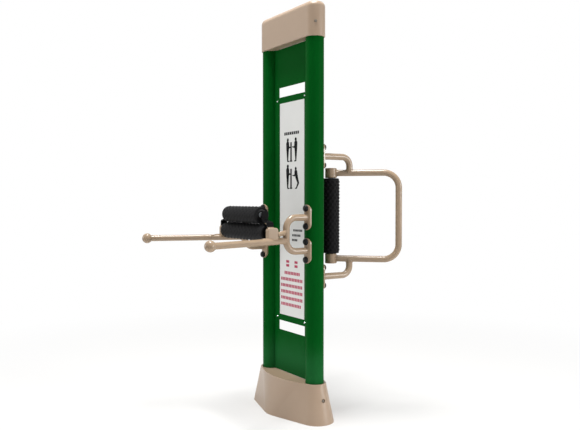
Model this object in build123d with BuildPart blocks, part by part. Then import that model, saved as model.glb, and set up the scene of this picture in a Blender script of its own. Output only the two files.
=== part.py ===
"""Outdoor waist massager: a post with a pair of lying rollers in front and two upright rollers behind.

Millimetres, +Z up. The origin is on the ground, midway between the two columns. +X runs along the board,
-Y is the side of the lying rollers and arms, +Y the side of the upright rollers and handles.
"""
from math import asin, atan2, cos, hypot, radians, sin, sqrt

from build123d import *
import os

os.makedirs("parts", exist_ok=True)

SIDES = (("right", 1), ("left", -1))

# Post
total_height = 2013
column_diameter = 89
column_wall = 3.5
column_pitch = 400
column_radius = column_diameter / 2
column_x = column_pitch / 2
weld_gap = 0.3

# Foot plate, its ribs and the lugs for the cover
plate_overhang = 65
plate_length = column_pitch + 2 * plate_overhang
plate_width = 140
plate_thickness = 10
plate_corner = 25
anchor_inset_x = 30
anchor_inset_y = 20
anchor_pitch_x = plate_length - 2 * anchor_inset_x
anchor_pitch_y = plate_width - 2 * anchor_inset_y
anchor_hole = 18
rib_thickness = 8
rib_height = 75
rib_reach = 22
rib_toe = 10
cover_lug_width = 30
cover_lug_thickness = 4
cover_lug_height = 125
cover_lug_end = 3
cover_screw_height = 110

# Base cover, a boat-shaped shell with a sunk deck; each plan has round ends, and sides of two straight
# runs with a broad bend between them
base_height = 184
base_wall = 4
base_foot_centre = 219
base_foot_end_radius = 83
base_foot_middle = 143
base_foot_bend = 150
base_rim_centre = 201
base_rim_end_radius = 55
base_rim_middle = 106
base_rim_bend = 450
base_rim_width = 8
base_half_length = base_foot_centre + base_foot_end_radius
deck_depth = 4
deck_thickness = 4
base_rim_round = 2.5
column_passage = 1.5
boss_radius = 10
boss_recess_radius = 9
screw_seat_depth = 6

# Top cap
cap_height = 170
cap_overhang = 5.5
cap_wall = 4
cap_top_round = 28
cap_lip = 3
cap_floor = 4
cap_rib = 4
cap_rib_drop = 26
cap_screw_rise = 67
cap_screw_turn = 30

# Small screws of both covers
cover_screw_head = 14
cover_screw_head_height = 4
cover_screw_diameter = 6
cover_screw_past_lug = 6
cover_screw_clearance = 0.3
screw_head_taper = 25
cap_screw_length = 18

# Panel between the columns and the sign on it
web_thickness = 4
web_front = 5
slot_height = 50
slot_half_width = 123
slots_top = 1643
slots_bottom = 393
web_bottom_margin = 2
sign_half_width = 133
sign_thickness = 2
sign_corner = 4
sign_screw_inset = 7
sign_screw_drop = 17
sign_screw_head = 9
sign_screw_head_height = 3
sign_screw_diameter = 4.8
sign_screw_length = 12
sign_screw_hole = 5.2

# Saddles and their bolts
saddle_thickness = 6
saddle_chord = 53
saddle_height = 122
saddle_fit = 0.3
bolt_pitch = 86
bolt_diameter = 10
bolt_clearance = 0.6
bolt_head_diameter = 17
bolt_head_height = 6
bolt_head_taper = 15
bolt_length = 26
nut_across = 17
nut_height = 8
nut_fit = 0.2
bolt_cap_diameter = 32
bolt_cap_height = 15
bolt_cap_round = 10
bolt_cap_fit = 0.3

# Bent tubes
tube_diameter = 32
tube_wall = 2.5
tube_radius = tube_diameter / 2

# Front brackets, arms, end plates and braces
front_low_z = 822
front_high_z = 982
front_reach = 162
front_bend = 52
arm_diameter = 30
arm_z = 874
arm_tip_x = 353
arm_tip_y = 633
ball_diameter = 50
ball_socket = 8
arm_wall = 2.5
ball_fit = 0.1
end_plate_thickness = 22
end_plate_width = 58
end_plate_top_round = 14
end_plate_edge = 4
end_plate_top = 938
end_plate_foot = 881
end_plate_x = 231
end_plate_y = 259
brace_diameter = 22
brace_wall = 2
brace_root_z = 914
brace_end_z = 905

# Rollers
lower_axis_y = 262
lower_axis_z = 913.5
lower_end_gap = 15
upper_axis_y = 274
upper_axis_z = 995
upper_end_gap = 13
front_sleeve_diameter = 80
rear_sleeve_diameter = 84
rear_end_gap = 2
sleeve_end_round = 5
core_diameter = 60
core_wall = 3
core_bond = 0.05
hub_length = 16
bearing_outer_diameter = 42
bearing_inner_diameter = 28
bearing_width = 12
bearing_recess = 2
bearing_press = 0.05
running_gap = 0.1
shaft_diameter = 20
shaft_fit = 0.05
spacer_diameter = 26
spacer_fit = 0.1
shaft_socket = 15
shaft_end_gap = 0.3

# Link bars that carry the upper roller
link_thickness = 6
link_width = 34
link_axis_y = 268
link_foot_x = 228
link_foot_rise = 22
link_upright_x = 180
link_step_rise = 12
link_rise = 20
link_bend = 8
link_top_round = 12
link_shaft_proud = 1

# Back station
handle_low_z = 773
handle_high_z = 1200
rear_drop = 80
rear_rise = 77.5
rear_low_z = handle_low_z - rear_drop
rear_high_z = handle_high_z + rear_rise
rear_reach = 211
rear_bend = 45
handle_bend = 74
handle_splay = 45
handle_out = 243.5
handle_in = 93
boss_diameter = 58
boss_height = 49
boss_round = 3


def save(piece, name):
    """Label a finished piece and write it as its own file."""
    piece.part.label = name
    export_step(piece.part, f"parts/{name}.step")


def sweep_tube(points, bend, outer_diameter, wall):
    """Add a round tube along straight runs joined by bends of one radius."""
    with BuildLine() as route:
        if bend:
            FilletPolyline(*points, radius=bend)
        else:
            Line(*points)
    with BuildSketch(Plane(origin=route.line @ 0, z_dir=route.line % 0)) as ring:
        Circle(outer_diameter / 2)
        Circle(outer_diameter / 2 - wall, mode=Mode.SUBTRACT)
    sweep(sections=ring.sketch, path=route.line)


def cut_rod(plane, radius, length):
    """Cut away a round bar centred on a plane's origin and lying along its normal."""
    with BuildSketch(plane) as disc:
        Circle(radius)
    extrude(disc.sketch, amount=length / 2, both=True, mode=Mode.SUBTRACT)


# Foot plate, one steel plate with four anchor holes and two upright lugs welded at its ends
lug_x = plate_length / 2 - cover_lug_end - cover_lug_thickness / 2
with BuildPart() as foot_plate:
    with BuildSketch() as outline:
        RectangleRounded(plate_length, plate_width, plate_corner)
        with GridLocations(anchor_pitch_x, anchor_pitch_y, 2, 2):
            Circle(anchor_hole / 2, mode=Mode.SUBTRACT)
    extrude(amount=plate_thickness)
    with Locations((lug_x, 0, plate_thickness), (-lug_x, 0, plate_thickness)):
        Box(cover_lug_thickness, cover_lug_width, cover_lug_height - plate_thickness,
            align=(Align.CENTER, Align.CENTER, Align.MIN))
    with BuildSketch(Plane.YZ) as lug_hole:
        with Locations((0, cover_screw_height)):
            Circle(cover_screw_diameter / 2 + cover_screw_clearance)
    extrude(amount=plate_length, both=True, mode=Mode.SUBTRACT)
save(foot_plate, "foot_plate")

# Welded ribs, three round the foot of each column
with BuildPart() as foot_ribs:
    for _, side in SIDES:
        for outward, across in (((-side, 0, 0), (0, side, 0)), ((0, 1, 0), (1, 0, 0)),
                                ((0, -1, 0), (-1, 0, 0))):
            near = column_radius + weld_gap
            rib_plane = Plane(origin=(side * column_x, 0, plate_thickness), x_dir=outward, z_dir=across)
            with BuildSketch(rib_plane):
                with BuildLine():
                    Polyline((near, 0), (near + rib_reach, 0), (near + rib_reach, rib_toe),
                             (near + rib_toe, rib_height), (near, rib_height), close=True)
                make_face()
            extrude(amount=rib_thickness / 2, both=True)
save(foot_ribs, "foot_ribs")

def cap_screw_plane(side, distance):
    """Plane square to the cap's screw at one column, at a distance from the column's axis."""
    return Plane(origin=(side * (column_x + distance * cap_screw_x), distance * cap_screw_y, cap_screw_z),
                 z_dir=(side * cap_screw_x, cap_screw_y, 0))


# Columns, plain tubes with a clearance hole for every saddle bolt and for the cap's screw
cap_bottom = total_height - cap_height
column_top = total_height - cap_rib_drop - weld_gap
cap_screw_z = cap_bottom + cap_screw_rise
cap_screw_x = cos(radians(cap_screw_turn))
cap_screw_y = -sin(radians(cap_screw_turn))
front_bolt_levels = [z + step * bolt_pitch / 2 for z in (front_low_z, front_high_z) for step in (-1, 1)]
rear_bolt_levels = [z + step * bolt_pitch / 2 for z in (rear_low_z, rear_high_z) for step in (-1, 1)]
for side_name, side in SIDES:
    with BuildPart() as column:
        with BuildSketch(Plane.XY.offset(plate_thickness)) as ring:
            with Locations((side * column_x, 0)):
                Circle(column_radius)
                Circle(column_radius - column_wall, mode=Mode.SUBTRACT)
        extrude(amount=column_top - plate_thickness)
        for facing, levels in ((-1, front_bolt_levels), (1, rear_bolt_levels)):
            hole_plane = Plane(origin=(side * column_x, 0, 0), x_dir=(1, 0, 0), z_dir=(0, -1, 0))
            with BuildSketch(hole_plane) as holes:
                with Locations(*[(0, z) for z in levels]):
                    Circle(bolt_diameter / 2 + bolt_clearance)
            extrude(amount=-facing * column_diameter, mode=Mode.SUBTRACT)
        cut_rod(cap_screw_plane(side, column_radius), cover_screw_diameter / 2 + cover_screw_clearance,
                column_diameter)
    save(column, f"column_{side_name}")

# Sheet panel welded between the columns: three sheets and four short strips that leave a slot above the sign
# and one below it
web_half_width = column_x - column_radius - weld_gap
web_bottom = base_height - deck_depth + web_bottom_margin
web_top = cap_bottom - web_bottom_margin
slot_centres = (slots_top - slot_height / 2, slots_bottom + slot_height / 2)
sign_bottom = slots_bottom + slot_height
sign_top = slots_top - slot_height
sign_middle = (sign_bottom + sign_top) / 2
sign_height = sign_top - sign_bottom
screw_places = [(sx * (sign_half_width - sign_screw_inset), sz * (sign_height / 2 - sign_screw_drop))
                for sx in (-1, 1) for sz in (-1, 1)]
board_plane = Plane(origin=(0, -web_front, 0), x_dir=(1, 0, 0), z_dir=(0, -1, 0))
sign_plane = Plane(origin=(0, -web_front, sign_middle), x_dir=(1, 0, 0), z_dir=(0, -1, 0))
strip_width = web_half_width - slot_half_width
strip_x = (web_half_width + slot_half_width) / 2
with BuildPart() as web_panel:
    with BuildSketch(board_plane) as sheets:
        for low, high in ((web_bottom, slots_bottom), (sign_bottom, sign_top), (slots_top, web_top)):
            with Locations((0, (low + high) / 2)):
                Rectangle(2 * web_half_width, high - low)
        with Locations(*[(side * strip_x, level) for _, side in SIDES for level in slot_centres]):
            Rectangle(strip_width, slot_height - 2 * weld_gap)
        with Locations((0, sign_middle)):
            with Locations(*screw_places):
                Circle(sign_screw_hole / 2, mode=Mode.SUBTRACT)
    extrude(amount=-web_thickness)
save(web_panel, "web_panel")

# Sign plate, a flat sheet a little wider than the slots
with BuildPart() as sign_plate:
    with BuildSketch(sign_plane) as face:
        RectangleRounded(2 * sign_half_width, sign_height, sign_corner)
        with Locations(*screw_places):
            Circle(sign_screw_hole / 2, mode=Mode.SUBTRACT)
    extrude(amount=sign_thickness)
save(sign_plate, "sign_plate")

# Four round-headed screws at the corners of the sign
with BuildPart() as sign_screws:
    with BuildSketch(sign_plane.offset(sign_thickness)) as heads:
        with Locations(*screw_places):
            Circle(sign_screw_head / 2)
    extrude(amount=sign_screw_head_height, taper=screw_head_taper)
    with BuildSketch(sign_plane.offset(sign_thickness)) as shanks:
        with Locations(*screw_places):
            Circle(sign_screw_diameter / 2)
    extrude(amount=-sign_screw_length)
save(sign_screws, "sign_screws")


def cover_outline(height, inset):
    """Plan of the base cover at a height, drawn in by a wall: round ends, straight runs, broad bends."""
    rise_share = height / base_height
    centre = base_foot_centre + (base_rim_centre - base_foot_centre) * rise_share
    end_radius = base_foot_end_radius + (base_rim_end_radius - base_foot_end_radius) * rise_share - inset
    middle = base_foot_middle + (base_rim_middle - base_foot_middle) * rise_share - inset
    bend_radius = base_foot_bend + (base_rim_bend - base_foot_bend) * rise_share - inset
    bend_centre = bend_radius - middle
    slope = asin((bend_radius - end_radius) / hypot(centre, bend_centre)) - atan2(bend_centre, centre)
    bend_x = bend_radius * sin(slope)
    bend_y = bend_radius * cos(slope) - bend_centre
    join_x = centre + end_radius * sin(slope)
    join_y = end_radius * cos(slope)
    tip = centre + end_radius
    with BuildSketch(Plane.XY.offset(height)) as plan:
        with BuildLine():
            for turn in (1, -1):
                ThreePointArc((-turn * bend_x, -turn * bend_y), (0, -turn * middle),
                              (turn * bend_x, -turn * bend_y))
                Line((turn * bend_x, -turn * bend_y), (turn * join_x, -turn * join_y))
                ThreePointArc((turn * join_x, -turn * join_y), (turn * tip, 0),
                              (turn * join_x, turn * join_y))
                Line((turn * join_x, turn * join_y), (turn * bend_x, turn * bend_y))
        make_face()
    return plan.sketch


# Base cover, one moulded shell dropped over both columns, with a boss for a screw in each end
deck_top = base_height - deck_depth
deck_under = deck_top - deck_thickness
end_draft = base_half_length - base_rim_centre - base_rim_end_radius
end_at_screw = base_half_length - end_draft * cover_screw_height / base_height
boss_inner = plate_length / 2 - cover_lug_end + weld_gap
screw_seat_x = end_at_screw - screw_seat_depth
cover_screw_length = screw_seat_x - (lug_x - cover_lug_thickness / 2) + cover_screw_past_lug
with BuildPart() as base_cover:
    loft(sections=[cover_outline(0, 0), cover_outline(base_height, 0)], ruled=True)
    loft(sections=[cover_outline(0, base_wall), cover_outline(deck_under, base_wall)], ruled=True,
         mode=Mode.SUBTRACT)
    loft(sections=[cover_outline(deck_top, base_rim_width), cover_outline(base_height, base_rim_width)],
         ruled=True, mode=Mode.SUBTRACT)
    fillet(base_cover.faces().sort_by(Axis.Z)[-1].edges(), radius=base_rim_round)
    for _, side in SIDES:
        cut_rod(Plane(origin=(side * column_x, 0, deck_top)), column_radius + column_passage, 2 * base_height)
        boss_plane = Plane(origin=(side * boss_inner, 0, cover_screw_height), z_dir=(side, 0, 0))
        with BuildSketch(boss_plane) as boss:
            Circle(boss_radius)
        extrude(boss.sketch, amount=end_at_screw - boss_inner)
        seat_plane = Plane(origin=(side * screw_seat_x, 0, cover_screw_height), z_dir=(side, 0, 0))
        with BuildSketch(seat_plane) as recess:
            Circle(boss_recess_radius)
        extrude(recess.sketch, amount=base_half_length, mode=Mode.SUBTRACT)
        cut_rod(boss_plane, cover_screw_diameter / 2 + cover_screw_clearance, base_half_length)
save(base_cover, "base_cover")

# Top cap, one moulded stadium-shaped shell with a floor that closes round the columns
cap_half_depth = column_radius + cap_overhang
cap_length = column_pitch + 2 * cap_half_depth
cap_rib_z = total_height - cap_rib_drop
with BuildPart() as cap_hollow:
    with BuildSketch(Plane.XY.offset(cap_bottom + cap_floor)) as inside:
        SlotOverall(cap_length - 2 * cap_wall, 2 * (cap_half_depth - cap_wall))
    extrude(amount=cap_height - cap_wall - cap_floor)
    fillet(cap_hollow.faces().sort_by(Axis.Z)[-1].edges(), radius=cap_top_round - cap_wall)
with BuildPart() as top_cap:
    with BuildSketch(Plane.XY.offset(cap_bottom)) as footprint:
        SlotOverall(cap_length, 2 * cap_half_depth)
    extrude(amount=cap_height)
    fillet(top_cap.faces().sort_by(Axis.Z)[-1].edges(), radius=cap_top_round)
    chamfer(top_cap.faces().sort_by(Axis.Z)[0].edges(), length=cap_lip)
    add(cap_hollow.part, mode=Mode.SUBTRACT)
    for _, side in SIDES:
        cut_rod(Plane(origin=(side * column_x, 0, cap_bottom)), column_radius + column_passage, 4 * cap_floor)
        cut_rod(cap_screw_plane(side, cap_half_depth), cover_screw_diameter / 2 + cover_screw_clearance,
                4 * cap_wall)
        with Locations((side * column_x, 0, cap_rib_z)):
            Box(cap_rib, 2 * (cap_half_depth - cap_top_round), cap_rib_drop - cap_wall / 2,
                align=(Align.CENTER, Align.CENTER, Align.MIN))
save(top_cap, "top_cap")

# Screws of the covers: one in each end of the base cover, one in each round end of the cap
with BuildPart() as cover_screws:
    for _, side in SIDES:
        end_seat = Plane(origin=(side * (screw_seat_x + cover_screw_clearance), 0, cover_screw_height),
                         z_dir=(side, 0, 0))
        cap_seat = cap_screw_plane(side, cap_half_depth + cover_screw_clearance)
        for seat_plane, shank in ((end_seat, cover_screw_length), (cap_seat, cap_screw_length)):
            with BuildSketch(seat_plane) as head:
                Circle(cover_screw_head / 2)
            extrude(head.sketch, amount=cover_screw_head_height, taper=screw_head_taper)
            with BuildSketch(seat_plane) as shaft:
                Circle(cover_screw_diameter / 2)
            extrude(shaft.sketch, amount=-shank)
save(cover_screws, "cover_screws")

# Saddles, curved plates wrapped over the columns, two to a node: front ones and back ones on each column
saddle_inner = column_radius + saddle_fit
saddle_outer = saddle_inner + saddle_thickness
for side_name, side in SIDES:
    for face_name, facing, levels in (("front", -1, (front_low_z, front_high_z)),
                                      ("rear", 1, (rear_low_z, rear_high_z))):
        bolt_levels = front_bolt_levels if facing < 0 else rear_bolt_levels
        with BuildPart() as saddles:
            for level in levels:
                with Locations((side * column_x, 0, level)):
                    Cylinder(saddle_outer, saddle_height)
                    Cylinder(saddle_inner, saddle_height, mode=Mode.SUBTRACT)
            with BuildSketch(Plane(origin=(side * column_x, 0, 0), x_dir=(-facing, 0, 0),
                                   z_dir=(0, facing, 0))) as outline:
                with Locations(*[(0, level) for level in levels]):
                    SlotOverall(saddle_height, saddle_chord, rotation=90)
            extrude(amount=column_diameter, mode=Mode.INTERSECT)
            with BuildSketch(Plane(origin=(side * column_x, 0, 0), x_dir=(-facing, 0, 0),
                                   z_dir=(0, facing, 0))) as holes:
                with Locations(*[(0, level) for level in bolt_levels]):
                    Circle(bolt_diameter / 2 + bolt_clearance)
            extrude(amount=column_diameter, mode=Mode.SUBTRACT)
        save(saddles, f"{face_name}_saddles_{side_name}")


def bolt_plane(side, facing, distance):
    """Upright plane square to the bolts of one column face, at a distance from the column's axis."""
    return Plane(origin=(side * column_x, facing * distance, 0), x_dir=(-facing, 0, 0), z_dir=(0, facing, 0))


bolt_faces = [(side, facing, levels) for _, side in SIDES
              for facing, levels in ((-1, front_bolt_levels), (1, rear_bolt_levels))]

# Button-headed bolts through saddle and column wall
with BuildPart() as saddle_bolts:
    for side, facing, levels in bolt_faces:
        places = [(0, level) for level in levels]
        with BuildSketch(bolt_plane(side, facing, saddle_outer + weld_gap)) as heads:
            with Locations(*places):
                Circle(bolt_head_diameter / 2)
        extrude(amount=bolt_head_height, taper=bolt_head_taper)
        with BuildSketch(bolt_plane(side, facing, saddle_outer + weld_gap)) as shanks:
            with Locations(*places):
                Circle(bolt_diameter / 2)
        extrude(amount=-bolt_length)
save(saddle_bolts, "saddle_bolts")

# Hexagon nuts welded inside the columns
nut_corner = nut_across / sqrt(3)
nut_outer_y = sqrt((column_radius - column_wall)**2 - nut_corner**2) - nut_fit
with BuildPart() as weld_nuts:
    for side, facing, levels in bolt_faces:
        with BuildSketch(bolt_plane(side, facing, nut_outer_y)) as hexagons:
            with Locations(*[(0, level) for level in levels]):
                RegularPolygon(nut_corner, 6, major_radius=True)
                Circle(bolt_diameter / 2 + nut_fit, mode=Mode.SUBTRACT)
        extrude(amount=-nut_height)
save(weld_nuts, "weld_nuts")

# Domed plastic caps over the bolt heads, with a skirt that follows the saddle
cap_foot = sqrt(saddle_outer**2 - (bolt_cap_diameter / 2)**2)
with BuildPart() as bolt_caps:
    for side, facing, levels in bolt_faces:
        with BuildSketch(bolt_plane(side, facing, cap_foot)) as discs:
            with Locations(*[(0, level) for level in levels]):
                Circle(bolt_cap_diameter / 2)
        extrude(amount=bolt_cap_height)
    ends = bolt_caps.faces().filter_by(Plane.XZ).group_by(Axis.Y)
    fillet(ends[0].edges() + ends[-1].edges(), radius=bolt_cap_round)
    for side, facing, levels in bolt_faces:
        with BuildSketch(bolt_plane(side, facing, 0)) as pockets:
            with Locations(*[(0, level) for level in levels]):
                Circle(bolt_head_diameter / 2 + bolt_cap_fit)
        extrude(amount=saddle_outer + weld_gap + bolt_head_height + bolt_cap_fit, mode=Mode.SUBTRACT)
    for _, side in SIDES:
        cut_rod(Plane(origin=(side * column_x, 0, 0)), saddle_outer + bolt_cap_fit, 2 * total_height)
save(bolt_caps, "bolt_caps")

# Front station: C-shaped bracket tube, arm, ball end, upright end plate, brace and link bar on each side
end_plate_inner = end_plate_x - end_plate_thickness / 2
end_plate_back = end_plate_y - end_plate_width / 2
arm_run = hypot(arm_tip_x - column_x, arm_tip_y - front_reach)
arm_step_x = (arm_tip_x - column_x) / arm_run
arm_step_y = (arm_tip_y - front_reach) / arm_run
for side_name, side in SIDES:
    x = side * column_x
    root = Vector(x, -front_reach, arm_z)
    along = Vector(side * arm_step_x, -arm_step_y, 0)
    arm_plane = Plane(origin=root, z_dir=along)

    with BuildPart() as front_bracket:
        sweep_tube([(x, -column_radius, front_high_z), (x, -front_reach, front_high_z),
                    (x, -front_reach, front_low_z), (x, -column_radius, front_low_z)],
                   front_bend, tube_diameter, tube_wall)
        cut_rod(Plane(origin=(x, 0, arm_z)), saddle_outer + weld_gap, total_height)
    save(front_bracket, f"front_bracket_{side_name}")

    with BuildPart() as arm:
        sweep_tube([root, root + along * (arm_run - ball_socket)], 0, arm_diameter, arm_wall)
        cut_rod(Plane(origin=root), tube_radius + weld_gap, 2 * tube_diameter)
    save(arm, f"arm_{side_name}")

    with BuildPart() as arm_ball:
        with Locations(root + along * arm_run):
            Sphere(ball_diameter / 2)
        cut_rod(Plane(origin=root + along * (arm_run - ball_socket - ball_diameter / 2), z_dir=along),
                arm_diameter / 2 + ball_fit, ball_diameter)
    save(arm_ball, f"arm_ball_{side_name}")

    with BuildPart() as end_plate:
        with BuildSketch(Plane(origin=(side * end_plate_x, -end_plate_y, 0), x_dir=(0, 1, 0),
                               z_dir=(1, 0, 0))) as upright:
            with Locations((0, (end_plate_foot + end_plate_top) / 2)):
                Rectangle(end_plate_width, end_plate_top - end_plate_foot)
            fillet(upright.vertices().group_by(Axis.Y)[-1], radius=end_plate_top_round)
        extrude(amount=end_plate_thickness / 2, both=True)
        fillet(end_plate.faces().filter_by(Plane.YZ).edges(), radius=end_plate_edge)
        cut_rod(arm_plane, arm_diameter / 2 + weld_gap, 2 * arm_run)
        with BuildSketch(Plane(origin=(side * end_plate_inner, -lower_axis_y, lower_axis_z),
                               z_dir=(side, 0, 0))) as socket:
            Circle(shaft_diameter / 2 + shaft_fit)
        extrude(amount=shaft_socket, mode=Mode.SUBTRACT)
    save(end_plate, f"end_plate_{side_name}")

    with BuildPart() as brace:
        start = Vector(x, -front_reach, brace_root_z)
        finish = Vector(side * end_plate_x, -end_plate_back, brace_end_z)
        past_finish = finish + (finish - start).normalized() * brace_diameter
        sweep_tube([start, past_finish], 0, brace_diameter, brace_wall)
        cut_rod(Plane(origin=start), tube_radius + weld_gap, 2 * tube_diameter)
        split(bisect_by=Plane(origin=(0, weld_gap - end_plate_back, 0), z_dir=(0, 1, 0)), keep=Keep.TOP)
    save(brace, f"brace_{side_name}")

    with BuildPart() as link:
        foot_z = end_plate_top + weld_gap
        knee_z = end_plate_top + link_foot_rise
        with BuildSketch(Plane(origin=(0, -link_axis_y, 0), x_dir=(side, 0, 0), z_dir=(0, -side, 0))) as bar:
            with BuildLine():
                FilletPolyline((link_foot_x, foot_z), (link_foot_x, knee_z),
                               (link_upright_x, knee_z + link_step_rise),
                               (link_upright_x, upper_axis_z + link_rise), radius=link_bend)
            trace(line_width=link_thickness)
        extrude(amount=link_width / 2, both=True)
        fillet(link.edges().filter_by(Axis.X).group_by(Axis.Z)[-1], radius=link_top_round)
        cut_rod(Plane(origin=(side * link_upright_x, -upper_axis_y, upper_axis_z), z_dir=(1, 0, 0)),
                shaft_diameter / 2 + shaft_fit, 4 * link_thickness)
    save(link, f"link_bar_{side_name}")

# Back station: bent bracket tubes, handle tube and bosses on each side, all in one splayed upright plane
splay_x = sin(radians(handle_splay))
splay_y = cos(radians(handle_splay))
boss_x = column_x - handle_in * splay_x
boss_y = rear_reach - handle_in * splay_y
rear_middle_z = (handle_low_z + handle_high_z) / 2
rear_support = (handle_high_z - handle_low_z - boss_height) / 2
for side_name, side in SIDES:
    x = side * column_x
    joint = Vector(x, rear_reach, 0)
    outward = Vector(side * splay_x, splay_y, 0)
    for level_name, saddle_z, handle_z in (("upper", rear_high_z, handle_high_z),
                                           ("lower", rear_low_z, handle_low_z)):
        with BuildPart() as rear_bracket:
            sweep_tube([(x, column_radius, saddle_z), (x, rear_reach, saddle_z), (x, rear_reach, handle_z)],
                       rear_bend, tube_diameter, tube_wall)
            cut_rod(Plane(origin=(x, 0, saddle_z)), saddle_outer + weld_gap, total_height)
            cut_rod(Plane(origin=(x, rear_reach, handle_z), z_dir=outward), tube_radius + weld_gap,
                    2 * tube_diameter)
        save(rear_bracket, f"rear_bracket_{level_name}_{side_name}")

    with BuildPart() as handle:
        high = Vector(0, 0, handle_high_z)
        low = Vector(0, 0, handle_low_z)
        sweep_tube([joint - outward * handle_in + high, joint + outward * handle_out + high,
                    joint + outward * handle_out + low, joint - outward * handle_in + low],
                   handle_bend, tube_diameter, tube_wall)
        cut_rod(Plane(origin=(side * boss_x, boss_y, rear_middle_z)), boss_diameter / 2 + weld_gap,
                total_height)
    save(handle, f"rear_handle_{side_name}")

    with BuildPart() as bosses:
        with Locations((side * boss_x, boss_y, handle_high_z), (side * boss_x, boss_y, handle_low_z)):
            Cylinder(boss_diameter / 2, boss_height)
        fillet(bosses.edges().filter_by(GeomType.CIRCLE), radius=boss_round)
        cut_rod(Plane(origin=(side * boss_x, boss_y, rear_middle_z)), shaft_diameter / 2 + shaft_fit,
                2 * (rear_support + shaft_socket))
    save(bosses, f"rear_bosses_{side_name}")

# Rollers: name, plane across the axis at the middle, half length, sleeve diameter, distance to the support
# face and how far the fixed shaft goes past that face
link_inner = link_upright_x - link_thickness / 2
rollers = [
    ("front_lower", Plane(origin=(0, -lower_axis_y, lower_axis_z), z_dir=(1, 0, 0)),
     end_plate_inner - lower_end_gap, front_sleeve_diameter, end_plate_inner, shaft_socket - shaft_end_gap),
    ("front_upper", Plane(origin=(0, -upper_axis_y, upper_axis_z), z_dir=(1, 0, 0)),
     link_inner - upper_end_gap, front_sleeve_diameter, link_inner, link_thickness + link_shaft_proud),
]
for side_name, side in SIDES:
    rollers.append((f"rear_{side_name}", Plane(origin=(side * boss_x, boss_y, rear_middle_z)),
                    rear_support - rear_end_gap, rear_sleeve_diameter, rear_support,
                    shaft_socket - shaft_end_gap))

for name, axis_plane, half_length, sleeve_diameter, support, shaft_past in rollers:
    bearing_z = half_length - bearing_recess - bearing_width / 2
    hub_z = half_length - hub_length / 2

    with BuildPart(axis_plane) as sleeve:
        Cylinder(sleeve_diameter / 2, 2 * half_length)
        fillet(sleeve.edges().filter_by(GeomType.CIRCLE), radius=sleeve_end_round)
        Cylinder(core_diameter / 2 + core_bond, 2 * half_length, mode=Mode.SUBTRACT)
    save(sleeve, f"{name}_sleeve")

    with BuildPart(axis_plane) as core:
        Cylinder(core_diameter / 2, 2 * half_length)
        Cylinder(core_diameter / 2 - core_wall, 2 * half_length, mode=Mode.SUBTRACT)
    save(core, f"{name}_core")

    with BuildPart(axis_plane) as hubs:
        with Locations((0, 0, hub_z), (0, 0, -hub_z)):
            Cylinder(core_diameter / 2 - core_wall - bearing_press, hub_length)
            Cylinder(bearing_outer_diameter / 2 + bearing_press, hub_length, mode=Mode.SUBTRACT)
    save(hubs, f"{name}_hubs")

    with BuildPart(axis_plane) as outer_rings:
        with Locations((0, 0, bearing_z), (0, 0, -bearing_z)):
            Cylinder(bearing_outer_diameter / 2, bearing_width)
            Cylinder(bearing_inner_diameter / 2 + running_gap, bearing_width, mode=Mode.SUBTRACT)
    save(outer_rings, f"{name}_bearings")

    with BuildPart(axis_plane) as shaft:
        Cylinder(shaft_diameter / 2, 2 * (support + shaft_past))
    save(shaft, f"{name}_shaft")

# Inner rings of the sealed bearings, fixed on the shafts
with BuildPart() as inner_rings:
    for _, axis_plane, half_length, _, _, _ in rollers:
        bearing_z = half_length - bearing_recess - bearing_width / 2
        with Locations(axis_plane):
            with Locations((0, 0, bearing_z), (0, 0, -bearing_z)):
                Cylinder(bearing_inner_diameter / 2, bearing_width)
                Cylinder(shaft_diameter / 2 + shaft_fit, bearing_width, mode=Mode.SUBTRACT)
save(inner_rings, "bearing_inner_rings")

# Spacer rings between each inner ring and what holds the shaft
with BuildPart() as spacers:
    for _, axis_plane, half_length, _, support, _ in rollers:
        near = half_length - bearing_recess + spacer_fit
        far = support - shaft_end_gap
        with Locations(axis_plane):
            with Locations((0, 0, (near + far) / 2), (0, 0, -(near + far) / 2)):
                Cylinder(spacer_diameter / 2, far - near)
                Cylinder(shaft_diameter / 2 + shaft_fit, far - near, mode=Mode.SUBTRACT)
save(spacers, "shaft_spacers")
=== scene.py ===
"""Looks of the outdoor waist massager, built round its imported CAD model.

Metres, +Z up, in the CAD model's frame: +X along the board, -Y the side of the lying rollers and arms. The
camera and the light come first, then the pieces in the order in which the post is put together.
"""
import math

import bmesh
import bpy
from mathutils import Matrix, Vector


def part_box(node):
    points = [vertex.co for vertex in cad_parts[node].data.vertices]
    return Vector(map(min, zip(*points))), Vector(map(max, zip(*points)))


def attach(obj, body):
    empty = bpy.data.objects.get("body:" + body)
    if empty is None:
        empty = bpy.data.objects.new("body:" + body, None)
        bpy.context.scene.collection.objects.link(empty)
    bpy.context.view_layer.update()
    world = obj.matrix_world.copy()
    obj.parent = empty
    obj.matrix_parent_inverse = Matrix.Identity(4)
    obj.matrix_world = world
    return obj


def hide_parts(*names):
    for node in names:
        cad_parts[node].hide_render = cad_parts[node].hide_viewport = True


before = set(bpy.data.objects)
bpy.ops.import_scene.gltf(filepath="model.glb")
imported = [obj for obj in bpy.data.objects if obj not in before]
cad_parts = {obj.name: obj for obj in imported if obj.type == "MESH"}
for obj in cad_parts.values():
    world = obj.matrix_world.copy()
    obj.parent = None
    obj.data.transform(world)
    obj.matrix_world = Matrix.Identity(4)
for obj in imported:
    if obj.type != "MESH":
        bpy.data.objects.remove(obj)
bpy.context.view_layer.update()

# Camera. It stands at chest height about three metres off the near end of the board, turned well away from
# square-on, and looks down a little.
picture_width = 580
focal_pixels = 680
sensor_width = 36
camera_place = (2.883, -1.881, 1.068)
camera_turn = math.radians(57.04)
camera_tilt = math.radians(1.31)
camera_data = bpy.data.cameras.new("camera")
camera_data.sensor_width = sensor_width
camera_data.lens = sensor_width * focal_pixels / picture_width
camera = bpy.data.objects.new("camera", camera_data)
camera.location = camera_place
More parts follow.
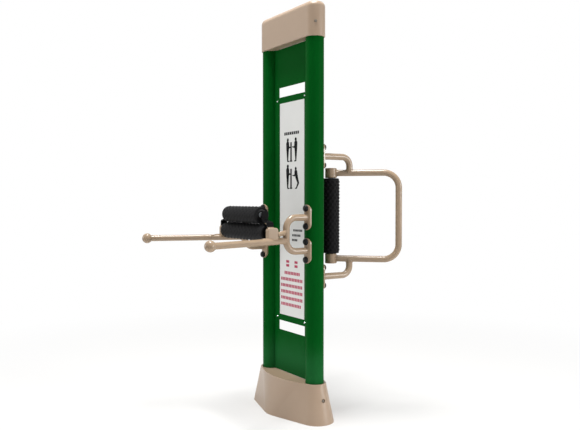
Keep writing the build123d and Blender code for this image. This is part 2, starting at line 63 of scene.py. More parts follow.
camera.rotation_euler = (math.pi / 2 - camera_tilt, 0, camera_turn)
bpy.context.scene.collection.objects.link(camera)
bpy.context.scene.camera = camera
bpy.context.scene.view_settings.view_transform = "Standard"


def linear(hex_colour):
    """Linear red, green, blue and alpha of an sRGB hex colour."""
    shares = [int(hex_colour[place:place + 2], 16) / 255 for place in (1, 3, 5)]
    return [s / 12.92 if s <= 0.04045 else ((s + 0.055) / 1.055) ** 2.4 for s in shares] + [1.0]


def add_node(material, kind, settings=None, links=None):
    """Add one node to a material's tree, set its values and feed its inputs from other nodes' outputs."""
    node = material.node_tree.nodes.new(kind)
    for name, value in (settings or {}).items():
        if name in node.inputs:
            node.inputs[name].default_value = value
        else:
            setattr(node, name, value)
    for name, output in (links or {}).items():
        material.node_tree.links.new(output, node.inputs[name])
    return node


# Studio: a white room. The world is plain white to the camera and in reflections, and a softer white as
# light.
room_light = 0.36
studio = bpy.data.worlds.new("studio")
studio.use_nodes = True
studio.node_tree.nodes.clear()
ray = add_node(studio, "ShaderNodeLightPath").outputs
seen = add_node(studio, "ShaderNodeMath", {"operation": "MAXIMUM"})
studio.node_tree.links.new(ray["Is Camera Ray"], seen.inputs[0])
studio.node_tree.links.new(ray["Is Glossy Ray"], seen.inputs[1])
seen_or_through = add_node(studio, "ShaderNodeMath", {"operation": "MAXIMUM"})
studio.node_tree.links.new(seen.outputs[0], seen_or_through.inputs[0])
studio.node_tree.links.new(ray["Is Transmission Ray"], seen_or_through.inputs[1])
soft_white = add_node(studio, "ShaderNodeBackground", {"Color": linear("#FFFFFF"), "Strength": room_light})
plain_white = add_node(studio, "ShaderNodeBackground", {"Color": linear("#FFFFFF"), "Strength": 1.0})
room = add_node(studio, "ShaderNodeMixShader", links={"Fac": seen_or_through.outputs[0]})
studio.node_tree.links.new(soft_white.outputs[0], room.inputs[1])
studio.node_tree.links.new(plain_white.outputs[0], room.inputs[2])
add_node(studio, "ShaderNodeOutputWorld", links={"Surface": room.outputs[0]})
bpy.context.scene.world = studio

# Lamps: soft boxes on the left in front of the sign and on the right behind the handles, and a large one
# overhead that draws the bright line along the top of every tube. They stand far off, so the light is even.
for lamp_name, lamp_place, lamp_target, lamp_size, lamp_watts in (
    ("left_lamp", (-3.6, -5.0, 2.0), (0.0, 0.0, 1.0), 2.4, 72),
    ("right_lamp", (5.0, 3.6, 1.9), (0.2, 0.2, 1.0), 1.6, 160),
    ("top_lamp", (0.2, -0.5, 5.2), (0.1, 0.0, 1.0), 1.4, 290),
):
    lamp_data = bpy.data.lights.new(lamp_name, "AREA")
    lamp_data.size = lamp_size
    lamp_data.energy = lamp_watts
    lamp = bpy.data.objects.new(lamp_name, lamp_data)
    lamp.location = lamp_place
    lamp.rotation_euler = (Vector(lamp_target) - Vector(lamp_place)).to_track_quat("-Z", "Y").to_euler()
    bpy.context.scene.collection.objects.link(lamp)

# Floor: a smooth white studio floor. It keeps a pale shadow round the foot and fades into the plain white
# background a few metres away. The camera sees it a little greyer than the white that lights the post.
floor_radius = 9.0
floor_corners = 96
shadow_strength = 0.6
fade_start = 0.6
fade_end = 3.4
floor_mesh = bpy.data.meshes.new("floor")
floor_shape = bmesh.new()
bmesh.ops.create_circle(floor_shape, cap_ends=True, segments=floor_corners, radius=floor_radius)
floor_shape.to_mesh(floor_mesh)
floor_shape.free()
floor = bpy.data.objects.new("floor", floor_mesh)
bpy.context.scene.collection.objects.link(floor)
white_floor = bpy.data.materials.new("white_floor")
white_floor.use_nodes = True
white_floor.node_tree.nodes.clear()
spot = add_node(white_floor, "ShaderNodeTexCoord")
from_post = add_node(white_floor, "ShaderNodeVectorMath", {"operation": "LENGTH"},
                     {"Vector": spot.outputs["Object"]})
kept = add_node(white_floor, "ShaderNodeMapRange",
                {"From Min": fade_start, "From Max": fade_end, "To Min": shadow_strength, "To Max": 0.0,
                 "interpolation_type": "SMOOTHSTEP"}, {"Value": from_post.outputs["Value"]})
lit = add_node(white_floor, "ShaderNodeBsdfDiffuse", {"Color": linear("#F2F2F2")})
shaded = add_node(white_floor, "ShaderNodeBsdfDiffuse", {"Color": linear("#E0DFDD")})
plain = add_node(white_floor, "ShaderNodeEmission", {"Color": linear("#FFFFFF"), "Strength": 1.0})
faded = add_node(white_floor, "ShaderNodeMixShader", links={"Fac": kept.outputs["Result"]})
white_floor.node_tree.links.new(plain.outputs[0], faded.inputs[1])
white_floor.node_tree.links.new(shaded.outputs[0], faded.inputs[2])
ray = add_node(white_floor, "ShaderNodeLightPath").outputs
shown = add_node(white_floor, "ShaderNodeMixShader", links={"Fac": ray["Is Camera Ray"]})
white_floor.node_tree.links.new(lit.outputs[0], shown.inputs[1])
white_floor.node_tree.links.new(faded.outputs[0], shown.inputs[2])
add_node(white_floor, "ShaderNodeOutputMaterial", links={"Surface": shown.outputs[0]})
floor_mesh.materials.append(white_floor)


def new_finish(name, colour, roughness, metallic=0.0, ior=1.5):
    """Start a material with its plain values; returns it, its surface shader and the place on the piece."""
    finish = bpy.data.materials.new(name)
    finish.use_nodes = True
    surface = finish.node_tree.nodes["Principled BSDF"]
    surface.inputs["Base Color"].default_value = linear(colour)
    surface.inputs["Roughness"].default_value = roughness
    surface.inputs["Metallic"].default_value = metallic
    surface.inputs["IOR"].default_value = ior
    place = add_node(finish, "ShaderNodeTexCoord").outputs["Object"]
    return finish, surface, place


def paint(finish, *nodes):
    """Put a finish on CAD nodes."""
    for node in nodes:
        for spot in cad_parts[node].material_slots:
            spot.material = finish


# Foot plate, ribs, bolts, nuts, spacers and shafts: hot-dip galvanised steel. The zinc freezes in
# crystals a centimetre across, which gives a dull grey metal with a soft patchwork in it.
spangle_mm = 12
zinc_grain_mm = 2
zinc_grain_depth = 0.00002
galvanised_steel, surface, place = new_finish("galvanised_steel", "#A9ADB0", 0.42, metallic=1.0)
spangle = add_node(galvanised_steel, "ShaderNodeTexVoronoi", {"Scale": 1000 / spangle_mm},
                   {"Vector": place})
zinc_tone = add_node(galvanised_steel, "ShaderNodeValToRGB", links={"Fac": spangle.outputs["Color"]})
zinc_tone.color_ramp.elements[0].color = linear("#989DA1")
zinc_tone.color_ramp.elements[1].color = linear("#B9BDC0")
galvanised_steel.node_tree.links.new(zinc_tone.outputs["Color"], surface.inputs["Base Color"])
zinc_grain = add_node(galvanised_steel, "ShaderNodeTexNoise", {"Scale": 1000 / zinc_grain_mm},
                      {"Vector": place})
zinc_bump = add_node(galvanised_steel, "ShaderNodeBump", {"Distance": zinc_grain_depth},
                     {"Height": zinc_grain.outputs["Fac"]})
galvanised_steel.node_tree.links.new(zinc_bump.outputs["Normal"], surface.inputs["Normal"])
paint(galvanised_steel, "foot_plate", "foot_ribs", "saddle_bolts", "weld_nuts", "shaft_spacers",
      "front_lower_shaft", "rear_right_shaft", "rear_left_shaft")

# Columns and panel: steel tube and sheet, welded together and powder coated dark green. The baked powder has
# a gloss and a fine orange peel, drawn at 6 mm, coarser than the real 2 mm, so that it shows. The lowest
# stretch is painted a paler green, a painted reflection of the white floor.
green_peel_mm = 6
green_peel_depth = 0.00004
green_drift_mm = 300
floor_reflection_top = 0.43
floor_reflection_full = 0.28
floor_reflection_edge_mm = 90
floor_reflection_waver = 0.06
green_powder_coat, surface, place = new_finish("green_powder_coat", "#054E18", 0.36, ior=1.06)
green_drift = add_node(green_powder_coat, "ShaderNodeTexNoise",
                       {"Scale": 1000 / green_drift_mm, "Detail": 3.0}, {"Vector": place})
green_tone = add_node(green_powder_coat, "ShaderNodeValToRGB", links={"Fac": green_drift.outputs["Fac"]})
green_tone.color_ramp.elements[0].color = linear("#034614")
green_tone.color_ramp.elements[1].color = linear("#055219")
# Painted reflection of the white floor: the green turns paler towards the bottom, below a wavering line.
height = add_node(green_powder_coat, "ShaderNodeSeparateXYZ", links={"Vector": place})
floor_reflection_noise = add_node(green_powder_coat, "ShaderNodeTexNoise", {"Scale": 1000 / floor_reflection_edge_mm},
                        {"Vector": place})
floor_reflection_line = add_node(green_powder_coat, "ShaderNodeMath", {"operation": "MULTIPLY_ADD"})
floor_reflection_line.inputs[1].default_value = floor_reflection_waver
green_powder_coat.node_tree.links.new(floor_reflection_noise.outputs["Fac"], floor_reflection_line.inputs[0])
green_powder_coat.node_tree.links.new(height.outputs["Z"], floor_reflection_line.inputs[2])
painted_floor_reflection = add_node(green_powder_coat, "ShaderNodeMapRange",
                  {"From Min": floor_reflection_full, "From Max": floor_reflection_top, "To Min": 1.0, "To Max": 0.0,
                   "interpolation_type": "SMOOTHSTEP"}, {"Value": floor_reflection_line.outputs["Value"]})
# The paler green of the painted floor reflection.
floor_reflection_tone = add_node(green_powder_coat, "ShaderNodeMixRGB", {"Color2": linear("#1A5A2B")},
                      {"Fac": painted_floor_reflection.outputs["Result"], "Color1": green_tone.outputs["Color"]})
green_powder_coat.node_tree.links.new(floor_reflection_tone.outputs["Color"], surface.inputs["Base Color"])
green_peel = add_node(green_powder_coat, "ShaderNodeTexNoise", {"Scale": 1000 / green_peel_mm},
                      {"Vector": place})
green_bump = add_node(green_powder_coat, "ShaderNodeBump", {"Distance": green_peel_depth},
                      {"Height": green_peel.outputs["Fac"]})
green_powder_coat.node_tree.links.new(green_bump.outputs["Normal"], surface.inputs["Normal"])
paint(green_powder_coat, "column_right", "column_left", "web_panel", "sign_plate")


def new_piece(name, shape, finish, body="post", smooth=True):
    """Turn a finished bmesh into a piece with one finish that rides on a body."""
    bmesh.ops.recalc_face_normals(shape, faces=shape.faces)
    mesh = bpy.data.meshes.new(name)
    shape.to_mesh(mesh)
    shape.free()
    mesh.shade_smooth() if smooth else mesh.shade_flat()
    mesh.materials.append(finish)
    piece = bpy.data.objects.new(name, mesh)
    bpy.context.scene.collection.objects.link(piece)
    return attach(piece, body)


# Sign film: white printed vinyl, stuck on the green sign plate between its two rows of screws, a centimetre
# off its middle. It is 0.4 mm thick, satin, and a little uneven in tone as sun-aged print is.
film_thickness = 0.0004
film_strip = 0.0325
film_half_width = 0.112
film_middle_x = 0.010
film_drift_mm = 140
sign_low, sign_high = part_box("sign_plate")
film_low = sign_low.z + film_strip
film_high = sign_high.z - film_strip
film_left = film_middle_x - film_half_width
film_right = film_middle_x + film_half_width
film_face = sign_low.y - film_thickness
white_film, surface, place = new_finish("white_vinyl_film", "#D6D6D3", 0.45)
film_drift = add_node(white_film, "ShaderNodeTexNoise", {"Scale": 1000 / film_drift_mm, "Detail": 4.0},
                      {"Vector": place})
film_tone = add_node(white_film, "ShaderNodeValToRGB", links={"Fac": film_drift.outputs["Fac"]})
film_tone.color_ramp.elements[0].color = linear("#D0D1CD")
film_tone.color_ramp.elements[1].color = linear("#DBDAD8")
white_film.node_tree.links.new(film_tone.outputs["Color"], surface.inputs["Base Color"])


def add_flat(shape, outline, front, thickness):
    """Add a thin flat piece, drawn as (x, z) points, whose front face lies at y = front."""
    faces = [[shape.verts.new((x, y, z)) for x, z in outline] for y in (front, front + thickness)]
    shape.faces.new(faces[0])
    shape.faces.new(faces[1][::-1])
    for here in range(len(outline)):
        ahead = (here + 1) % len(outline)
        shape.faces.new((faces[0][here], faces[1][here], faces[1][ahead], faces[0][ahead]))


film_shape = bmesh.new()
add_flat(film_shape, [(film_left, film_low), (film_right, film_low), (film_right, film_high),
                      (film_left, film_high)], film_face, film_thickness)
new_piece("sign_film", film_shape, white_film, smooth=False)

# Print on the film: screen ink, 0.1 mm thick here. Two rows of plain figures at the post, a heading and
# three short lines in black, and a block of red lines. Every word is a row of plain blocks, so nothing can
# be read.
ink_thickness = 0.0001
ink_drift_mm = 30
black_ink, surface, place = new_finish("black_screen_ink", "#0E0D0E", 0.5, ior=1.2)
ink_wear = add_node(black_ink, "ShaderNodeTexNoise", {"Scale": 1000 / ink_drift_mm}, {"Vector": place})
ink_tone = add_node(black_ink, "ShaderNodeValToRGB", links={"Fac": ink_wear.outputs["Fac"]})
ink_tone.color_ramp.elements[0].color = linear("#0A090A")
ink_tone.color_ramp.elements[1].color = linear("#171618")
black_ink.node_tree.links.new(ink_tone.outputs["Color"], surface.inputs["Base Color"])
red_ink, surface, place = new_finish("red_screen_ink", "#A62A4A", 0.5, ior=1.3)
ink_wear = add_node(red_ink, "ShaderNodeTexNoise", {"Scale": 1000 / ink_drift_mm}, {"Vector": place})
ink_tone = add_node(red_ink, "ShaderNodeValToRGB", links={"Fac": ink_wear.outputs["Fac"]})
ink_tone.color_ramp.elements[0].color = linear("#98203F")
ink_tone.color_ramp.elements[1].color = linear("#B8405E")
red_ink.node_tree.links.new(ink_tone.outputs["Color"], surface.inputs["Base Color"])


def limb(start, end, start_radius, end_radius):
    """Outline of a straight limb between two (x, z) joints, rounded at both and tapering between them."""
    half_round = 8
    direction = math.atan2(end[1] - start[1], end[0] - start[0])
    outline = []
    for joint, radius, first in ((end, end_radius, -math.pi / 2), (start, start_radius, math.pi / 2)):
        for step in range(half_round + 1):
            turn = direction + first + math.pi * step / half_round
            outline.append((joint[0] + radius * math.cos(turn), joint[1] + radius * math.sin(turn)))
    return outline


def add_figure(shape, foot, height, facing, knee_forward):
    """Add a plain standing person in profile, hands held out to the post, with straight or bent legs."""
    foot_x, foot_z = foot

    def at(forward_share, up_share):
        return foot_x + facing * forward_share * height, foot_z + up_share * height

    hip = at(0.4 * knee_forward, 0.5)
    knee = at(knee_forward, 0.27)
    ankle = at(0.3 * knee_forward, 0.05)
    heel = at(0.3 * knee_forward, 0.032)
    toe = at(0.11 + 0.3 * knee_forward, 0.024)
    elbow = at(0.12, 0.60)
    # The head, trunk, thigh, shin, foot, upper arm and forearm, each with its half widths as shares of height.
    for start, end, start_share, end_share in (
        (at(0.01, 0.925), at(0.0, 0.915), 0.078, 0.070),
        (at(0.0, 0.76), hip, 0.120, 0.098),
        (hip, knee, 0.094, 0.070),
        (knee, ankle, 0.070, 0.044),
        (heel, toe, 0.032, 0.024),
        (at(0.02, 0.74), elbow, 0.050, 0.038),
        (elbow, at(0.27, 0.62), 0.034, 0.022),
    ):
        add_flat(shape, limb(start, end, start_share * height, end_share * height),
                 film_face - ink_thickness, ink_thickness)


def add_block(shape, x_start, x_end, z_middle, height):
    """Add one plain printed rectangle."""
    low, high = z_middle - height / 2, z_middle + height / 2
    add_flat(shape, [(x_start, low), (x_end, low), (x_end, high), (x_start, high)],
             film_face - ink_thickness, ink_thickness)


def add_word_line(shape, x_start, x_end, z_middle, height, block, gap):
    """Add a printed line as a row of plain blocks with small gaps between them."""
    count = max(1, round((x_end - x_start + gap) / (block + gap)))
    step = (x_end - x_start + gap) / count
    for place in range(count):
        add_block(shape, x_start + place * step, x_start + (place + 1) * step - gap, z_middle, height)


left_person_x = -0.028
right_person_x = 0.047
drawn_post_x = 0.003
drawn_post_width = 0.014
drawn_foot_width = 0.022
post_height_share = 0.82
foot_height_share = 0.06
heading_z = 1.402
heading_height = 0.015
heading_block = 0.013
heading_gap = 0.0035
short_line_height = 0.011
short_line_block = 0.009
short_line_gap = 0.003
rows = ((1.258, 0.120, 0.120, 0.0), (1.121, 0.124, 0.110, 0.2))
black_print = bmesh.new()
for row_foot, left_height, right_height, bent in rows:
    add_figure(black_print, (left_person_x, row_foot), left_height, 1, 0.0)
    add_figure(black_print, (right_person_x, row_foot), right_height, -1, -bent)
    add_block(black_print, drawn_post_x - drawn_post_width / 2, drawn_post_x + drawn_post_width / 2,
              row_foot + post_height_share / 2 * left_height, post_height_share * left_height)
    add_block(black_print, drawn_post_x - drawn_foot_width / 2, drawn_post_x + drawn_foot_width / 2,
              row_foot + foot_height_share / 2 * left_height, foot_height_share * left_height)
add_word_line(black_print, -0.060, 0.075, heading_z, heading_height, heading_block, heading_gap)
for line_start, line_end, line_z in ((0.024, 0.104, 0.913), (0.014, 0.088, 0.888), (0.012, 0.060, 0.864)):
    add_word_line(black_print, line_start, line_end, line_z, short_line_height, short_line_block,
                  short_line_gap)
new_piece("sign_black_print", black_print, black_ink, smooth=False)

red_line_pitch = 0.0323
red_line_height = 0.016
first_red_line_z = 0.694
red_line_block = 0.011
red_line_gap = 0.0032
red_mark_width = 0.028
red_mark_height = 0.013
right_mark_x = 0.049
red_print = bmesh.new()
for mark_x in (left_person_x, right_mark_x):
    for mark_z in (0.752, 0.732):
        add_block(red_print, mark_x - red_mark_width / 2, mark_x + red_mark_width / 2, mark_z,
                  red_mark_height)
red_lines = ((-0.058, 0.082), (-0.090, 0.106), (-0.090, 0.104), (-0.090, 0.106), (-0.090, 0.106),
             (-0.090, 0.092))
for line_place, (line_start, line_end) in enumerate(red_lines):
    add_word_line(red_print, line_start, line_end, first_red_line_z - line_place * red_line_pitch,
                  red_line_height, red_line_block, red_line_gap)
new_piece("sign_red_print", red_print, red_ink, smooth=False)

# Base cover and top cap: rotationally moulded polyethylene in a dull champagne. The cast skin is satin with
# a faint pebble, drawn at 3 mm so that it shows.
plastic_pebble_mm = 3
plastic_pebble_depth = 0.00004
plastic_drift_mm = 170
moulded_plastic, surface, place = new_finish("moulded_polyethylene", "#A08A75", 0.34, ior=1.45)
plastic_drift = add_node(moulded_plastic, "ShaderNodeTexNoise",
                         {"Scale": 1000 / plastic_drift_mm, "Detail": 3.0}, {"Vector": place})
plastic_tone = add_node(moulded_plastic, "ShaderNodeValToRGB", links={"Fac": plastic_drift.outputs["Fac"]})
plastic_tone.color_ramp.elements[0].color = linear("#9B8570")
plastic_tone.color_ramp.elements[1].color = linear("#A6907B")
moulded_plastic.node_tree.links.new(plastic_tone.outputs["Color"], surface.inputs["Base Color"])
plastic_pebble = add_node(moulded_plastic, "ShaderNodeTexNoise",
                          {"Scale": 1000 / plastic_pebble_mm, "Detail": 4.0}, {"Vector": place})
plastic_bump = add_node(moulded_plastic, "ShaderNodeBump", {"Distance": plastic_pebble_depth},
                        {"Height": plastic_pebble.outputs["Fac"]})
moulded_plastic.node_tree.links.new(plastic_bump.outputs["Normal"], surface.inputs["Normal"])
paint(moulded_plastic, "base_cover", "top_cap")

# Screws of the sign and inner rings of the bearings: turned stainless steel, bright, with fine tool marks.
tool_mark_mm = 1
tool_mark_depth = 0.00001
turned_steel, surface, place = new_finish("turned_stainless_steel", "#C9CACB", 0.28, metallic=1.0)
tool_marks = add_node(turned_steel, "ShaderNodeTexNoise", {"Scale": 1000 / tool_mark_mm}, {"Vector": place})
tool_bump = add_node(turned_steel, "ShaderNodeBump", {"Distance": tool_mark_depth},
                     {"Height": tool_marks.outputs["Fac"]})
turned_steel.node_tree.links.new(tool_bump.outputs["Normal"], surface.inputs["Normal"])
paint(turned_steel, "sign_screws", "bearing_inner_rings")

# Screws of the cap and the base cover: turned stainless steel that has gone dull outdoors, with stains a
# few millimetres across.
stain_mm = 6
stain_depth = 0.00002
dull_steel, surface, place = new_finish("dulled_stainless_steel", "#7C776F", 0.5, metallic=1.0)
stain = add_node(dull_steel, "ShaderNodeTexNoise", {"Scale": 1000 / stain_mm, "Detail": 3.0},
                 {"Vector": place})
stain_tone = add_node(dull_steel, "ShaderNodeValToRGB", links={"Fac": stain.outputs["Fac"]})
stain_tone.color_ramp.elements[0].color = linear("#68625A")
stain_tone.color_ramp.elements[1].color = linear("#8A857C")
dull_steel.node_tree.links.new(stain_tone.outputs["Color"], surface.inputs["Base Color"])
stain_bump = add_node(dull_steel, "ShaderNodeBump", {"Distance": stain_depth},
                      {"Height": stain.outputs["Fac"]})
dull_steel.node_tree.links.new(stain_bump.outputs["Normal"], surface.inputs["Normal"])
paint(dull_steel, "cover_screws")

# Tubes, balls, saddles, end plates and bosses: steel, welded, and powder coated champagne. The coat is
# glossy with a soft orange peel, drawn at 5 mm so that it shows.
champagne_peel_mm = 5
champagne_peel_depth = 0.00004
champagne_drift_mm = 110
champagne_powder_coat, surface, place = new_finish("champagne_powder_coat", "#9A846C", 0.25, ior=1.5)
champagne_drift = add_node(champagne_powder_coat, "ShaderNodeTexNoise",
                           {"Scale": 1000 / champagne_drift_mm, "Detail": 3.0}, {"Vector": place})
champagne_tone = add_node(champagne_powder_coat, "ShaderNodeValToRGB",
                          links={"Fac": champagne_drift.outputs["Fac"]})
champagne_tone.color_ramp.elements[0].color = linear("#937D65")
champagne_tone.color_ramp.elements[1].color = linear("#A08A72")
champagne_powder_coat.node_tree.links.new(champagne_tone.outputs["Color"], surface.inputs["Base Color"])
champagne_peel = add_node(champagne_powder_coat, "ShaderNodeTexNoise", {"Scale": 1000 / champagne_peel_mm},
                          {"Vector": place})
champagne_bump = add_node(champagne_powder_coat, "ShaderNodeBump", {"Distance": champagne_peel_depth},
                          {"Height": champagne_peel.outputs["Fac"]})
champagne_powder_coat.node_tree.links.new(champagne_bump.outputs["Normal"], surface.inputs["Normal"])
tube_work = ["front_saddles", "rear_saddles", "front_bracket", "arm", "arm_ball", "end_plate", "brace",
             "rear_bracket_upper", "rear_bracket_lower", "rear_handle", "rear_bosses"]
paint(champagne_powder_coat, *[f"{piece}_{side}" for piece in tube_work for side in ("right", "left")])

# Bolt caps and roller hubs: injection moulded black nylon, with a low sheen.
nylon_grain_mm = 1.5
nylon_grain_depth = 0.00002
black_nylon, surface, place = new_finish("black_nylon", "#0B0B0C", 0.34, ior=1.25)
nylon_grain = add_node(black_nylon, "ShaderNodeTexNoise", {"Scale": 1000 / nylon_grain_mm},
                       {"Vector": place})
nylon_bump = add_node(black_nylon, "ShaderNodeBump", {"Distance": nylon_grain_depth},
                      {"Height": nylon_grain.outputs["Fac"]})
black_nylon.node_tree.links.new(nylon_bump.outputs["Normal"], surface.inputs["Normal"])
paint(black_nylon, "bolt_caps")

# Link bars: bent flat steel that carries the upper roller, in black enamel, satin over the rolled surface.
mill_grain_mm = 4
mill_grain_depth = 0.00003
black_enamel, surface, place = new_finish("black_enamel", "#0C0C0D", 0.42, ior=1.12)
mill_grain = add_node(black_enamel, "ShaderNodeTexNoise", {"Scale": 1000 / mill_grain_mm},
                      {"Vector": place})
mill_bump = add_node(black_enamel, "ShaderNodeBump", {"Distance": mill_grain_depth},
                     {"Height": mill_grain.outputs["Fac"]})
black_enamel.node_tree.links.new(mill_bump.outputs["Normal"], surface.inputs["Normal"])
paint(black_enamel, "link_bar_right", "link_bar_left", "front_upper_shaft")

# Weld beads of the front station: a run of weld metal where each tube meets the next piece, laid by hand
# before the powder coat, so they are champagne too. Each is a round bead with the slight ripple of the
# weaving torch.
bead_radius = 0.003
bead_ripple_share = 0.16
bead_pitch = 0.0045
bead_corners = 8
loop_points = 72
nearly_full_turn = 6.28
bracket_radius = 0.016
brace_radius = 0.011
up = Vector((0, 0, 1))


def add_bead(shape, points, around, closed=True):
    """Add a rippled bead along a line of points that goes round, or runs beside, the point around."""
    rings = []
    travelled = 0.0
    count = len(points)
    for place, point in enumerate(points):
        ahead = points[(place + 1) % count] if closed else points[min(place + 1, count - 1)]
        behind = points[place - 1] if closed else points[max(place - 1, 0)]
        along = (ahead - behind).normalized()
        out = point - around
        out = (out - out.dot(along) * along).normalized()
        across = along.cross(out)
        radius = bead_radius * (1 + bead_ripple_share * math.sin(2 * math.pi * travelled / bead_pitch))
        turns = [2 * math.pi * corner / bead_corners for corner in range(bead_corners)]
        rings.append([shape.verts.new(point + radius * (math.cos(turn) * out + math.sin(turn) * across))
                      for turn in turns])
        travelled += (ahead - point).length
    for place in range(count if closed else count - 1):
        near, far = rings[place], rings[(place + 1) % count]
        for corner in range(bead_corners):
            next_corner = (corner + 1) % bead_corners
            shape.faces.new((near[corner], near[next_corner], far[next_corner], far[corner]))
    if not closed:
        shape.faces.new(rings[0][::-1])
        shape.faces.new(rings[-1])


def tube_end(start, along, across, radius, reach, first_turn=0.0, last_turn=2 * math.pi):
    """Points round a tube whose axis runs from a start along a direction, each moved along by its reach."""
    side = along.cross(across)
    closed = last_turn - first_turn > nearly_full_turn
    points = []
    for place in range(loop_points):
        turn = first_turn + (last_turn - first_turn) * place / (loop_points if closed else loop_points - 1)
        sideways, upwards = radius * math.cos(turn), radius * math.sin(turn)
        point = start + sideways * side + upwards * across
        points.append(point + reach(point, sideways) * along)
    return points


def lay_bead(shape, points, around, side, closed=True):
    """Add a bead drawn for the right side of the post, mirrored where it is for the left side."""
    *points, around = [Vector((side * point.x, point.y, point.z)) for point in (*points, around)]
    add_bead(shape, points, around, closed)


def round_wall(radius):
    """Reach of a tube's end that meets an upright round wall about its own start."""
    return lambda point, sideways: math.sqrt(max(radius ** 2 - sideways ** 2, 0.0))


column_low, column_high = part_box("column_right")
column_x = (column_low.x + column_high.x) / 2
saddle_radius = -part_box("front_saddles_right")[0].y
bracket_low, bracket_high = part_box("front_bracket_right")
upright_y = bracket_low.y + bracket_radius
arm_low, arm_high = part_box("arm_right")
arm_z = (arm_low.z + arm_high.z) / 2
arm_radius = (arm_high.z - arm_low.z) / 2
ball_low, ball_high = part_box("arm_ball_right")
ball_place = (ball_low + ball_high) / 2
brace_low, brace_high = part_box("brace_right")
plate_low, plate_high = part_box("end_plate_right")
plate_middle_x = (plate_low.x + plate_high.x) / 2
arm_root = Vector((column_x, upright_y, arm_z))
arm_along = (ball_place - arm_root).normalized()
brace_end = Vector((plate_middle_x, plate_high.y, brace_low.z + brace_radius))
brace_run = math.hypot(brace_end.x - column_x, brace_end.y - upright_y)
brace_rise = (brace_high.z - brace_low.z - 2 * brace_radius) * brace_run / (brace_run - bracket_radius)
brace_root = Vector((column_x, upright_y, brace_end.z + brace_rise))
brace_along = (brace_end - brace_root).normalized()
plate_foot_turn = math.asin((plate_low.z - arm_z) / arm_radius)
link_low, link_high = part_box("link_bar_right")
foot_steps = 34
for side_name, side in (("right", 1), ("left", -1)):
    front_beads = bmesh.new()
    for level in (bracket_low.z + bracket_radius, bracket_high.z - bracket_radius):
        start = Vector((column_x, 0, level))
        loop = tube_end(start, Vector((0, -1, 0)), up, bracket_radius, round_wall(saddle_radius))
        lay_bead(front_beads, loop, start - Vector((0, saddle_radius, 0)), side)
    loop = tube_end(arm_root, arm_along, up, arm_radius, round_wall(bracket_radius))
    lay_bead(front_beads, loop, arm_root + bracket_radius * arm_along, side)
    loop = tube_end(brace_root, brace_along, up, brace_radius, round_wall(bracket_radius))
    lay_bead(front_beads, loop, brace_root + bracket_radius * brace_along, side)
    loop = tube_end(brace_root, brace_along, up, brace_radius,
                    lambda point, sideways: (plate_high.y - point.y) / brace_along.y)
    lay_bead(front_beads, loop, brace_end, side)
    for face_x in (plate_low.x, plate_high.x):
        arc = tube_end(arm_root, arm_along, up, arm_radius,
                       lambda point, sideways: (face_x - point.x) / arm_along.x,
                       plate_foot_turn, math.pi - plate_foot_turn)
        arm_spot = arm_root + (face_x - arm_root.x) / arm_along.x * arm_along
        lay_bead(front_beads, arc, arm_spot, side, closed=False)
    foot_edge = [Vector((link_high.x, link_high.y - (link_high.y - link_low.y) * step / foot_steps,
                         link_low.z)) for step in range(1, foot_steps)]
    lay_bead(front_beads, foot_edge, foot_edge[0] - Vector((bead_radius, 0, bead_radius)), side,
             closed=False)
    new_piece(f"front_weld_beads_{side_name}", front_beads, champagne_powder_coat)

# Weld beads of the back station, laid in the same way: brackets to saddles, brackets to the handle, and the
# handle's two ends to the roller bosses.
handle_low, handle_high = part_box("rear_handle_right")
handle_levels = (handle_low.z + bracket_radius, handle_high.z - bracket_radius)
lower_bracket_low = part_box("rear_bracket_lower_right")[0]
upper_bracket_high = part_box("rear_bracket_upper_right")[1]
joint_y = upper_bracket_high.y - bracket_radius
boss_low, boss_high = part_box("rear_bosses_right")
boss_place = (boss_low + boss_high) / 2
boss_radius = (boss_high.x - boss_low.x) / 2
handle_along = Vector((column_x - boss_place.x, joint_y - boss_place.y, 0)).normalized()
for side_name, side in (("right", 1), ("left", -1)):
    back_beads = bmesh.new()
    for saddle_z, handle_z, towards_bracket in (
        (lower_bracket_low.z + bracket_radius, handle_levels[0], -1),
        (upper_bracket_high.z - bracket_radius, handle_levels[1], 1),
    ):
        start = Vector((column_x, 0, saddle_z))
        loop = tube_end(start, Vector((0, 1, 0)), up, bracket_radius, round_wall(saddle_radius))
        lay_bead(back_beads, loop, start + Vector((0, saddle_radius, 0)), side)
        joint = Vector((column_x, joint_y, handle_z))
        loop = tube_end(joint, towards_bracket * up, handle_along, bracket_radius,
                        round_wall(bracket_radius))
        lay_bead(back_beads, loop, joint, side)
        boss_axis = Vector((boss_place.x, boss_place.y, handle_z))
        loop = tube_end(boss_axis, handle_along, up, bracket_radius, round_wall(boss_radius))
        lay_bead(back_beads, loop, boss_axis + boss_radius * handle_along, side)
    new_piece(f"back_weld_beads_{side_name}", back_beads, champagne_powder_coat)

# Rollers: sleeves of black rubber, moulded in a split mould with rows of round knobs, and pushed over steel
# core tubes that turn on sealed bearings. Every second ring of knobs is turned by half a step. The rubber
# is matt with a fine bloom; its grain is drawn at 2.5 mm so that it shows. The bearings' rubber seals and
# the core tubes are black too.
rubber_grain_mm = 2.5
rubber_grain_depth = 0.00006
black_rubber, surface, place = new_finish("moulded_black_rubber", "#161617", 0.55, ior=1.15)
rubber_grain = add_node(black_rubber, "ShaderNodeTexNoise",
                        {"Scale": 1000 / rubber_grain_mm, "Detail": 3.0}, {"Vector": place})
rubber_tone = add_node(black_rubber, "ShaderNodeValToRGB", links={"Fac": rubber_grain.outputs["Fac"]})
rubber_tone.color_ramp.elements[0].color = linear("#131314")
rubber_tone.color_ramp.elements[1].color = linear("#1D1D1E")
black_rubber.node_tree.links.new(rubber_tone.outputs["Color"], surface.inputs["Base Color"])
rubber_bump = add_node(black_rubber, "ShaderNodeBump", {"Distance": rubber_grain_depth},
                       {"Height": rubber_grain.outputs["Fac"]})
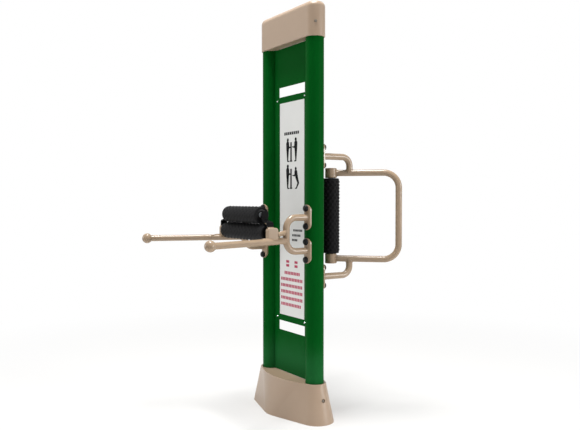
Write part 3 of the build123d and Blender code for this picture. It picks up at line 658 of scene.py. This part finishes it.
black_rubber.node_tree.links.new(rubber_bump.outputs["Normal"], surface.inputs["Normal"])
knob_radius = 0.006
lying_knob_height = 0.0016
lying_knob_proud = 0.001
upright_knob_height = 0.003
upright_knob_proud = 0.002
knobs_round = 12
knob_ring_pitch = 0.01615
knob_end_margin = 0.014
knob_corners = 12
knob_profile = ((1.0, -0.2), (0.95, 0.35), (0.78, 0.72), (0.5, 0.93), (0.2, 1.0))
sleeve_bore = 0.03005
sleeve_end_round = 0.005
sleeve_segments = 72
round_steps = 6


def add_sleeve(shape, centre, axis, half_length, outer_radius, knob_height, knob_proud):
    """Add a knobbed sleeve: a turned tube with rounded ends, and domes proud of the CAD sleeve's radius."""
    first = Vector((0, 1, 0)) if abs(axis.y) < 0.5 else Vector((1, 0, 0))
    second = axis.cross(first)
    body_radius = outer_radius + knob_proud - knob_height

    def on_sleeve(along, turn, radius):
        return centre + along * axis + radius * (math.cos(turn) * first + math.sin(turn) * second)

    profile = [(sleeve_bore, -half_length)]
    for end, start_turn in ((-1, -math.pi / 2), (1, 0.0)):
        for step in range(round_steps + 1):
            turn = start_turn + math.pi / 2 * step / round_steps
            profile.append((body_radius - sleeve_end_round + sleeve_end_round * math.cos(turn),
                            end * (half_length - sleeve_end_round) + sleeve_end_round * math.sin(turn)))
    profile.append((sleeve_bore, half_length))
    rings = [[shape.verts.new(on_sleeve(along, 2 * math.pi * segment / sleeve_segments, radius))
              for segment in range(sleeve_segments)] for radius, along in profile]
    for place, ring in enumerate(rings):
        next_ring = rings[(place + 1) % len(rings)]
        for segment in range(sleeve_segments):
            beside = (segment + 1) % sleeve_segments
            shape.faces.new((ring[segment], ring[beside], next_ring[beside], next_ring[segment]))

    ring_count = int(2 * (half_length - knob_end_margin) / knob_ring_pitch) + 1
    for ring_place in range(ring_count):
        knob_along = (ring_place - (ring_count - 1) / 2) * knob_ring_pitch
        for knob in range(knobs_round):
            knob_turn = 2 * math.pi * (knob + 0.5 * (ring_place % 2)) / knobs_round
            circles = []
            for radius_share, height_share in knob_profile:
                radius = knob_radius * radius_share
                circles.append([shape.verts.new(on_sleeve(
                    knob_along + radius * math.cos(turn),
                    knob_turn + radius * math.sin(turn) / body_radius,
                    body_radius + knob_height * height_share))
                    for turn in (2 * math.pi * corner / knob_corners for corner in range(knob_corners))])
            for outer, inner in zip(circles, circles[1:]):
                for corner in range(knob_corners):
                    beside = (corner + 1) % knob_corners
                    shape.faces.new((outer[corner], outer[beside], inner[beside], inner[corner]))
            shape.faces.new(circles[-1])


for roller in ("front_lower", "front_upper", "rear_right", "rear_left"):
    sleeve_low, sleeve_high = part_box(f"{roller}_sleeve")
    sleeve_size = sleeve_high - sleeve_low
    lying = sleeve_size.x > sleeve_size.z
    roller_axis = Vector((1, 0, 0)) if lying else up
    sleeve_shape = bmesh.new()
    add_sleeve(sleeve_shape, (sleeve_low + sleeve_high) / 2, roller_axis,
               (sleeve_size.x if lying else sleeve_size.z) / 2, sleeve_size.y / 2,
               lying_knob_height if lying else upright_knob_height,
               lying_knob_proud if lying else upright_knob_proud)
    knobbed = new_piece(f"{roller}_knobbed_sleeve", sleeve_shape, black_rubber,
                        f"{roller}_roller")
    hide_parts(f"{roller}_sleeve")
    paint(black_rubber, f"{roller}_sleeve")
    paint(black_enamel, f"{roller}_core")
    paint(black_nylon, f"{roller}_hubs")
    paint(black_rubber, f"{roller}_bearings")
